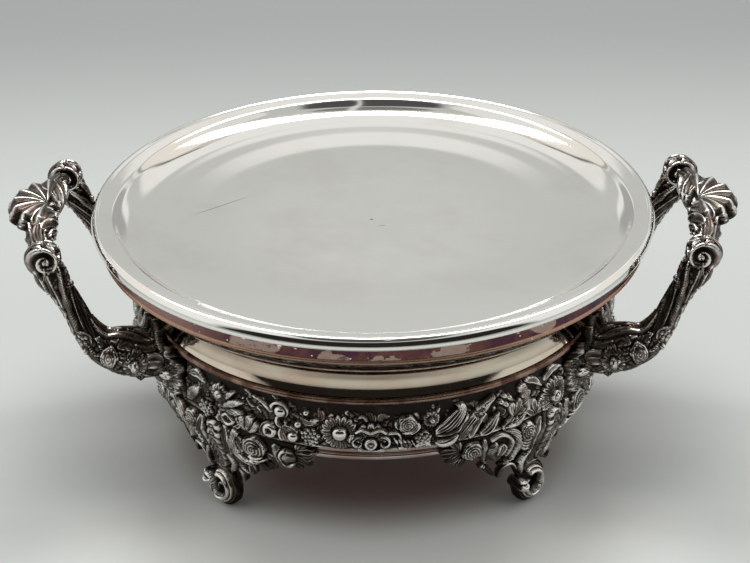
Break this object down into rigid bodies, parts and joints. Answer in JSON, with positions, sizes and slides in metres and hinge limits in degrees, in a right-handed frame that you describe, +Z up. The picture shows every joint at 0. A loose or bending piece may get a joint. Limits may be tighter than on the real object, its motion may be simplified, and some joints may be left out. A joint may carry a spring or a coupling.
{
  "type": "plate warmer",
  "caption": "Round plate warmer: a lift-off shallow dish over a water pan, in a waisted base with flower bands, leafy loop handles and scroll feet.",
  "frame": {"origin": "on the floor, under the middle of the dish", "axes": "+X towards the right handle, +Y to the back, +Z up; the front faces -Y"},
  "size_m": [0.377, 0.29, 0.1379],
  "materials": {
    "silver": "polished silver plate, lightly scratched in the well",
    "copper": "copper with purple and blue tarnish where the silver has worn off",
    "worn_plate": "polished silver plate with a warm copper cast",
    "tinned": "dull tinned copper",
    "cast_silver": "dark tarnished silver in the hollows, bright on the worn highlights"
  },
  "bodies": {
    "base": {"waist_bead": "copper", "body_shell": "worn_plate", "collar_ring": "worn_plate", "base_moulding": "worn_plate", "base_plate": "tinned", "gallery_front": "cast_silver", "gallery_back": "cast_silver", "foot_front_right": "cast_silver", "leaf_front_right_near": "cast_silver", "leaf_front_right_far": "cast_silver", "foot_nut_front_right": "tinned", "foot_back_right": "cast_silver", "leaf_back_right_near": "cast_silver", "leaf_back_right_far": "cast_silver", "foot_nut_back_right": "tinned", "foot_back_left": "cast_silver", "leaf_back_left_near": "cast_silver", "leaf_back_left_far": "cast_silver", "foot_nut_back_left": "tinned", "foot_front_left": "cast_silver", "leaf_front_left_near": "cast_silver", "leaf_front_left_far": "cast_silver", "foot_nut_front_left": "tinned", "bracket_right": "cast_silver", "arm_right_a": "cast_silver", "arm_right_b": "cast_silver", "grip_right": "cast_silver", "shell_right": "cast_silver", "handle_nut_right_a": "tinned", "handle_nut_right_b": "tinned", "bracket_left": "cast_silver", "arm_left_a": "cast_silver", "arm_left_b": "cast_silver", "grip_left": "cast_silver", "shell_left": "cast_silver", "handle_nut_left_a": "tinned", "handle_nut_left_b": "tinned"},
    "pan": {"water_pan": "tinned"},
    "dish": {"dish_plate": "silver", "dish_edge_wire": "copper", "dish_skirt": "copper", "skirt_lip": "copper"}
  },
  "joints": [
    {"name": "pan_lift", "type": "slide", "parent": "base", "child": "pan", "axis": [0, 0, 1], "range_m": [0, 0.07]},
    {"name": "dish_lift", "type": "slide", "parent": "pan", "child": "dish", "axis": [0, 0, 1], "range_m": [0, 0.04]}
  ]
}
